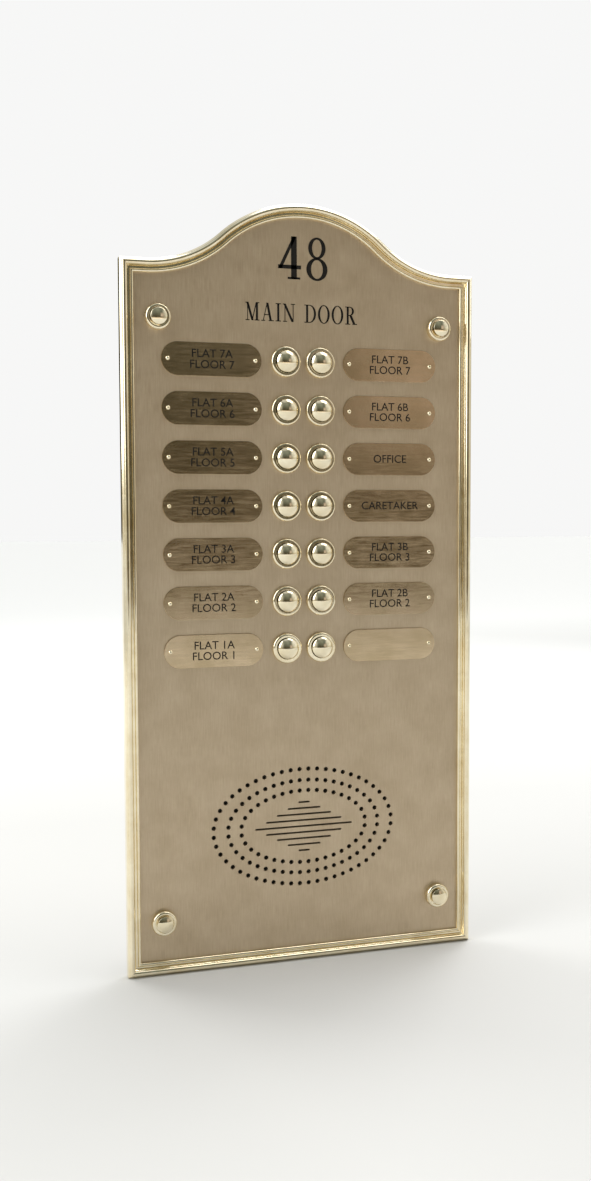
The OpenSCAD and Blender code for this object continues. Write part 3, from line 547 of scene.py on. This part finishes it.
plate, rivetPattern = modelNamePlate(), modelRivet()
rivets = []
for side, sign, texts in (("l", -1, namePlate["left"]), ("r", 1, namePlate["right"])):
    for row in range(1, panel["rows"] + 1):
        x, z = sign * namePlate["x"], rowHeight(row)
        node = f"name_plate_{side}{row}"
        onePlate = copyPiece(plate, node + "_engraved", x, z)
        onePlate.data.materials.clear()
        onePlate.data.materials.append(finishes["plateBrass"])
        if texts[row - 1]:
            onePlate = joinPieces([onePlate, engrave(texts[row - 1], x, z)], node + "_engraved")
        mount(onePlate, None, "name_plate_brass", body, node)
        for end in (-1, 1):
            place = x + end * namePlate["rivetPitch"] / 2
            rivets.append(copyPiece(rivetPattern, f"rivet_{side}{row}", place, z))
mount(joinPieces(rivets, "rivets"), finishes["polishedBrass"], "polished_brass", body, "name_plate_rivets")
for pattern in (plate, rivetPattern):
    bpy.data.objects.remove(pattern)
print("name plates modelled")

# the four fixings: a stepped collar and a dome-head screw each
fixing = {
    "x": 96, "z": 195, "collar": 16.5, "top": 8.5, "round": 1.6, "recess": 12, "seat": 6.7,
    "head": 10.6, "shoulder": 10.2, "dome": 1.2, "shank": 6, "neck": 5.6, "neckEnd": -0.3,
    "reach": 30, "hole": 6.2, "pitch": 1, "edge": 0.1, "point": (0.9, 0.4, 0.5),
    "threadFrom": 0.8, "threadDepth": 0.5, "crest": (0.42, 0.58), "plain": 2,
}


def modelCollar():
    outer, r, hole = fixing["collar"] / 2, fixing["round"], fixing["hole"] / 2
    top, base, recess = fixing["top"], panel["plateFront"], fixing["recess"] / 2
    profile = [(hole, fixing["seat"]), (hole, base), (outer, base)]
    profile += arcPoints(outer - r, top - r, r, 0, 90, 12)
    profile += [(recess, top), (recess, fixing["seat"]), (hole, fixing["seat"])]
    return turnPiece("collar", profile, 72, fixing["edge"])


def modelFixingScrew():
    shank, head = fixing["shank"] / 2, fixing["head"] / 2
    tip = -fixing["reach"]
    pointIn, pointOut, pointLong = fixing["point"]
    crestFrom, crestTo = fixing["crest"]
    profile = [(0, tip), (shank - pointIn, tip), (shank - pointOut, tip + pointLong)]
    turns = int((fixing["reach"] - fixing["plain"]) / fixing["pitch"])
    for k in range(turns):  # a ridge for each turn of the thread
        low = tip + fixing["threadFrom"] + k * fixing["pitch"]
        profile += [(shank - fixing["threadDepth"], low), (shank, low + crestFrom), (shank, low + crestTo)]
    profile += [(shank, fixing["neckEnd"]), (fixing["neck"] / 2, fixing["neckEnd"])]
    profile += [(fixing["neck"] / 2, fixing["seat"]), (head, fixing["seat"]), (head, fixing["shoulder"])]
    profile += domeProfile(fixing["head"], fixing["dome"], fixing["shoulder"], 10)[1:]
    return turnPiece("fixing", profile, 64, fixing["edge"])


collar, screw = modelCollar(), modelFixingScrew()
corners = [(sx * fixing["x"], sz * fixing["z"]) for sx in (-1, 1) for sz in (-1, 1)]
collars = [copyPiece(collar, "one_collar", x, z) for x, z in corners]
screws = [copyPiece(screw, "one_screw", x, z) for x, z in corners]
mount(joinPieces(collars, "collars"), finishes["polishedBrass"], "polished_brass", body, "fixing_collars")
mount(joinPieces(screws, "fixings"), finishes["polishedBrass"], "polished_brass", body, "fixing_screws")
for pattern in (collar, screw):
    bpy.data.objects.remove(pattern)
print("fixings modelled")

# house number and words, in a serif letter drawn as strokes in cap-height units
lettering = {
    "number": "48", "numberBase": 223.2, "numberHeight": 27.5, "numberWide": 26, "numberX": 0.5,
    "words": "MAIN DOOR", "wordsBase": 195.6, "wordsHeight": 11.7, "wordsWide": 9.1, "wordsX": -0.3,
    "spacing": 0.14, "proud": 0.04,
}


def bar(x0, z0, x1, z1):
    return [(x0, z0), (x1, z0), (x1, z1), (x0, z1)]


def slant(xa, za, xb, zb, w):
    return [(xa, za), (xa + w, za), (xb + w, zb), (xb, zb)]


def bowl(x, z, rx, rz, wx, wz, start, end):
    # part of an oval ring, thick at its sides and thin at its top and foot
    def oval(a, b):
        return [(x + a * px, z + b * pz) for px, pz in arcPoints(0, 0, 1, start, end, 18)]
    return oval(rx, rz) + oval(rx - wx, rz - wz)[::-1]


hair = 0.05  # thickness of serifs and thin strokes


def serif(x0, x1, z):
    return bar(x0, z, x1, z + hair)


glyphs = {
    " ": (0.42, []),
    "M": (1.02, [bar(0.12, 0, 0.175, 1), slant(0.06, 1, 0.43, 0, 0.17), slant(0.46, 0, 0.76, 1, 0.07),
                 bar(0.76, 0, 0.92, 1), serif(0, 0.3, 0), serif(0.66, 1.02, 0), serif(0, 0.2, 1 - hair),
                 serif(0.8, 1.02, 1 - hair)]),
    "A": (0.92, [slant(0.11, 0, 0.41, 1, 0.06), slant(0.62, 0, 0.36, 1, 0.17), bar(0.2, 0.32, 0.66, 0.37),
                 serif(0, 0.28, 0), serif(0.54, 0.92, 0)]),
    "I": (0.4, [bar(0.12, 0, 0.28, 1), serif(0, 0.4, 0), serif(0, 0.4, 1 - hair)]),
    "N": (0.92, [bar(0.13, 0, 0.19, 1), slant(0.64, 0, 0.04, 1, 0.18), bar(0.74, 0.0, 0.80, 1),
                 serif(0, 0.32, 0), serif(0, 0.2, 1 - hair), serif(0.6, 0.92, 1 - hair)]),
    "D": (0.88, [bar(0.12, 0, 0.28, 1), serif(0, 0.4, 0), serif(0, 0.4, 1 - hair),
                 bowl(0.38, 0.5, 0.5, 0.5, 0.17, hair, -90, 90)]),
    "O": (0.9, [bowl(0.45, 0.5, 0.45, 0.52, 0.17, hair, start, start + 180) for start in (-90, 90)]),
    "R": (0.9, [bar(0.12, 0, 0.28, 1), serif(0, 0.4, 0), serif(0, 0.38, 1 - hair),
                bar(0.27, 0.49, 0.38, 0.49 + hair), bowl(0.36, 0.745, 0.32, 0.255, 0.16, hair, -90, 90),
                slant(0.62, 0, 0.32, 0.5, 0.2), serif(0.56, 0.92, 0)]),
    "4": (0.6, [bar(0.34, 0, 0.49, 1), bar(0.0, 0.24, 0.6, 0.33), slant(0.0, 0.24, 0.39, 1, 0.09),
                serif(0.25, 0.58, 0)]),
    "8": (0.56, [bowl(0.28, 0.26, 0.28, 0.27, 0.125, 0.05, start, start + 180) for start in (-90, 90)] +
                [bowl(0.28, 0.755, 0.23, 0.255, 0.105, 0.05, start, start + 180) for start in (-90, 90)]),
}


def drawWords(text, baseZ, centreX, tall, wide):
    total = sum(glyphs[c][0] for c in text) + lettering["spacing"] * (len(text) - 1)
    pen = centreX - total * wide / 2
    front = panel["plateFront"]
    for c in text:
        for stroke in glyphs[c][1]:
            addPoint()
            drawLine([((pen + x * wide) * mm, -front * mm, (baseZ + z * tall) * mm) for x, z in stroke])
            bpy.ops.mesh.select_linked()
            bpy.ops.mesh.edge_face_add()
        pen += (glyphs[c][0] + lettering["spacing"]) * wide


letters = startPiece("panel_lettering")
bpy.ops.mesh.delete(type="VERT")
drawWords(lettering["number"], lettering["numberBase"], lettering["numberX"],
          lettering["numberHeight"], lettering["numberWide"])
drawWords(lettering["words"], lettering["wordsBase"], lettering["wordsX"],
          lettering["wordsHeight"], lettering["wordsWide"])
bpy.ops.mesh.select_all(action="SELECT")
bpy.ops.mesh.extrude_region_move(TRANSFORM_OT_translate={"value": (0, -lettering["proud"] * mm, 0)})
bpy.ops.mesh.select_all(action="SELECT")
bpy.ops.mesh.normals_make_consistent(inside=False)
bpy.ops.object.mode_set(mode="OBJECT")
mount(letters, finishes["paint"], "satin_brass", body)
print("lettering drawn")

# finishes of the CAD nodes that stay
nodeFinishes = {
    "satinBrass": ["face_plate"],
    "rawBrass": ["bush_nuts", "common_bus", "frame_screws"],
    "springSteel": ["button_springs"],
    "springBronze": ["contact_blades", "fixed_contacts"],
    "platedSteel": ["terminal_screws", "unit_screws", "speaker_basket"],
    "phenolic": ["contact_carriers"],
    "blackRubber": ["rear_gasket", "microphone_boot"],
    "fineGauze": ["grille_gauze"],
    "greyPlastic": ["speech_housing", "speech_cover"],
    "conePaper": ["speaker_cone"],
    "magnetIron": ["speaker_magnet"],
    "capsuleAluminium": ["microphone"],
    "boardGreen": ["speech_board"],
    "terminalPlastic": ["terminal_block"],
    "trimmerPlastic": ["speaker_trimmer", "microphone_trimmer"],
    "wirePvc": ["call_wires"],
}
for finish, members in nodeFinishes.items():
    for node in members:
        frame["nodes"][node].data.materials.clear()
        frame["nodes"][node].data.materials.append(finishes[finish])
print("CAD nodes finished")

# floor, camera, lights and surroundings
floor = {
    "z": -229, "front": 2.6, "back": 14, "side": 9, "paleFrom": 0.4, "paleTo": 2.4,
    "near": (0.62, 0.615, 0.605), "far": (0.78, 0.78, 0.775), "glow": (0.30, 0.30, 0.30), "rough": 0.7,
}
bpy.ops.object.select_all(action="DESELECT")
bpy.ops.mesh.primitive_plane_add(size=2, location=(0, 0, floor["z"] * mm - 0.0002))
ground = bpy.context.object
ground.name = "floor"
for vertex in ground.data.vertices:
    vertex.co.x *= floor["side"]
    vertex.co.y *= floor["back"] if vertex.co.y > 0 else floor["front"]
pale = bpy.data.materials.new("pale_floor")
pale.use_nodes = True
floorNodes = pale.node_tree.nodes
floorShader = floorNodes["Principled BSDF"]
floorShader.inputs["Roughness"].default_value = floor["rough"]
floorShader.inputs["Emission Strength"].default_value = 1
place = floorNodes.new("ShaderNodeTexCoord")
split = floorNodes.new("ShaderNodeSeparateXYZ")
distance = floorNodes.new("ShaderNodeMapRange")
distance.inputs["From Min"].default_value = floor["paleFrom"]
distance.inputs["From Max"].default_value = floor["paleTo"]
either = floorNodes.new("ShaderNodeMath")
either.operation = "ABSOLUTE"
tint = floorNodes.new("ShaderNodeValToRGB")  # paler with distance, so that no horizon shows
tint.color_ramp.elements[0].color = (*floor["near"], 1)
tint.color_ramp.elements[1].color = (*floor["far"], 1)
glow = floorNodes.new("ShaderNodeValToRGB")
glow.color_ramp.elements[0].color = (0, 0, 0, 1)
glow.color_ramp.elements[1].color = (*floor["glow"], 1)
for output, entry in (
        (place.outputs["Object"], split.inputs["Vector"]), (split.outputs["Y"], either.inputs[0]),
        (either.outputs["Value"], distance.inputs["Value"]),
        (distance.outputs["Result"], tint.inputs["Fac"]), (distance.outputs["Result"], glow.inputs["Fac"]),
        (tint.outputs["Color"], floorShader.inputs["Base Color"]),
        (glow.outputs["Color"], floorShader.inputs["Emission Color"])):
    pale.node_tree.links.new(output, entry)
ground.data.materials.append(pale)

view = {"place": (-0.23366, -0.76034, 0.06919), "turn": (86.4221, 0.2264, -16.8051), "lens": 36.391}
eye = bpy.data.cameras.new("camera")
eye.lens = view["lens"]
eye.sensor_width = 36
camera = bpy.data.objects.new("camera", eye)
camera.location = view["place"]
camera.rotation_euler = [math.radians(a) for a in view["turn"]]
bpy.context.scene.collection.objects.link(camera)
bpy.context.scene.camera = camera

lamps = {
    "sky_right": {"place": (0.9, -0.05, 1.9), "size": (1.6, 1.2), "power": 12, "colour": (1, 0.98, 0.94)},
    "sky_left": {"place": (-1.4, -0.5, 0.9), "size": (0.9, 1.7), "power": 13, "colour": (0.96, 0.98, 1)},
    "back_left": {"place": (-1.0, 1.3, 1.0), "size": (1.0, 1.0), "power": 14, "colour": (1, 0.99, 0.96)},
    "back_right": {"place": (1.2, 1.1, 0.8), "size": (0.8, 0.8), "power": 9, "colour": (0.97, 0.98, 1)},
}
overhead = {"power": 1.0, "angle": 36, "turn": (-14, 12, 0)}
sun = bpy.data.lights.new("overhead", "SUN")
sun.energy = overhead["power"]
sun.angle = math.radians(overhead["angle"])
high = bpy.data.objects.new("overhead", sun)
high.rotation_euler = [math.radians(a) for a in overhead["turn"]]
bpy.context.scene.collection.objects.link(high)
for name, lamp in lamps.items():
    light = bpy.data.lights.new(name, "AREA")
    light.shape = "RECTANGLE"
    light.size, light.size_y = lamp["size"]
    light.energy = lamp["power"]
    light.color = lamp["colour"]
    stand = bpy.data.objects.new(name, light)
    stand.location = lamp["place"]
    away = stand.location.normalized()
    stand.rotation_euler = away.to_track_quat("Z", "Y").to_euler()
    bpy.context.scene.collection.objects.link(stand)

# what the polished brass mirrors: a dim doorway in front, brighter to the sides, sky above and pale ground below
surroundings = {
    "front": [(0.0, (1.1, 1.0, 0.84)), (0.450, (1.3, 1.05, 0.80)), (0.460, (0.14, 0.115, 0.08)),
              (0.52, (0.085, 0.077, 0.05)), (0.64, (0.12, 0.125, 0.10)), (0.80, (0.20, 0.22, 0.19)),
              (0.91, (0.26, 0.28, 0.25)), (1.0, (0.9, 0.92, 0.95))],
    "sides": [(0.0, (0.9, 0.82, 0.7)), (0.42, (0.85, 0.76, 0.62)), (0.50, (0.62, 0.58, 0.48)),
              (0.60, (0.80, 0.80, 0.74)), (0.80, (1.1, 1.1, 1.08)), (1.0, (1.4, 1.42, 1.45))],
    "sideFrom": 0.44, "sideTo": 0.85,
    "wall": (0.52, 0.44, 0.38), "wallFrom": (0.29, 0.02), "wallTo": (0.36, 0.07),
    "wallTop": (0.45, 0.3), "wallEnd": (0.7, 0.5), "patches": 2.6, "patchLevels": (0.75, 1.3),
    "seen": (0.93, 0.93, 0.925), "strength": 1.0,
}
world = bpy.data.worlds.new("studio")
bpy.context.scene.world = world
world.use_nodes = True
nodes, link = world.node_tree.nodes, world.node_tree.links.new
background = nodes["Background"]
background.inputs["Strength"].default_value = surroundings["strength"]
direction = nodes.new("ShaderNodeTexCoord")
parts = nodes.new("ShaderNodeSeparateXYZ")
link(direction.outputs["Generated"], parts.inputs["Vector"])


def mapped(source, fromMin, fromMax, toMin=0, toMax=1):
    node = nodes.new("ShaderNodeMapRange")
    node.inputs["From Min"].default_value = fromMin
    node.inputs["From Max"].default_value = fromMax
    node.inputs["To Min"].default_value = toMin
    node.inputs["To Max"].default_value = toMax
    link(source, node.inputs["Value"])
    return node.outputs["Result"]


def bandsOver(source, steps):
    node = nodes.new("ShaderNodeValToRGB")
    while len(node.color_ramp.elements) < len(steps):
        node.color_ramp.elements.new(0.5)
    for element, (position, colour) in zip(node.color_ramp.elements, steps):
        element.position = position
        element.color = (*colour, 1)
    link(source, node.inputs["Fac"])
    return node.outputs["Color"]


def mixed(factor, first, second, blend="MIX"):
    node = nodes.new("ShaderNodeMix")
    node.data_type = "RGBA"
    node.blend_type = blend
    for socket, value in (("Factor", factor), ("A", first), ("B", second)):
        if isinstance(value, bpy.types.NodeSocket):
            link(value, node.inputs[socket])
        else:
            node.inputs[socket].default_value = value
    return node.outputs["Result"]


def calculated(operation, first, second=0):
    node = nodes.new("ShaderNodeMath")
    node.operation = operation
    link(first, node.inputs[0])
    if isinstance(second, bpy.types.NodeSocket):
        link(second, node.inputs[1])
    return node.outputs["Value"]


level = mapped(parts.outputs["Z"], -1, 1)
aside = mapped(calculated("ABSOLUTE", parts.outputs["X"]), surroundings["sideFrom"], surroundings["sideTo"])
street = mixed(aside, bandsOver(level, surroundings["front"]), bandsOver(level, surroundings["sides"]))
rightward = mapped(parts.outputs["X"], surroundings["wallFrom"][0], surroundings["wallTo"][0])
upward = mapped(parts.outputs["Z"], surroundings["wallFrom"][1], surroundings["wallTo"][1])
below = mapped(parts.outputs["Z"], *surroundings["wallTop"])
onWall = calculated("MULTIPLY", calculated("MULTIPLY", rightward, upward), below)
wallEnds = mapped(calculated("ABSOLUTE", parts.outputs["X"]), *surroundings["wallEnd"])
street = mixed(calculated("MULTIPLY", onWall, wallEnds), street, (*surroundings["wall"], 1))
patches = nodes.new("ShaderNodeTexNoise")
patches.inputs["Scale"].default_value = surroundings["patches"]
patches.inputs["Detail"].default_value = 2
link(direction.outputs["Generated"], patches.inputs["Vector"])
street = mixed(1, street, mapped(patches.outputs["Fac"], *noiseSpan, *surroundings["patchLevels"]), "MULTIPLY")
ray = nodes.new("ShaderNodeLightPath")
shown = mixed(ray.outputs["Is Camera Ray"], street, (*surroundings["seen"], 1))
link(shown, background.inputs["Color"])
bpy.context.scene.view_settings.view_transform = "Standard"
print("stage set")
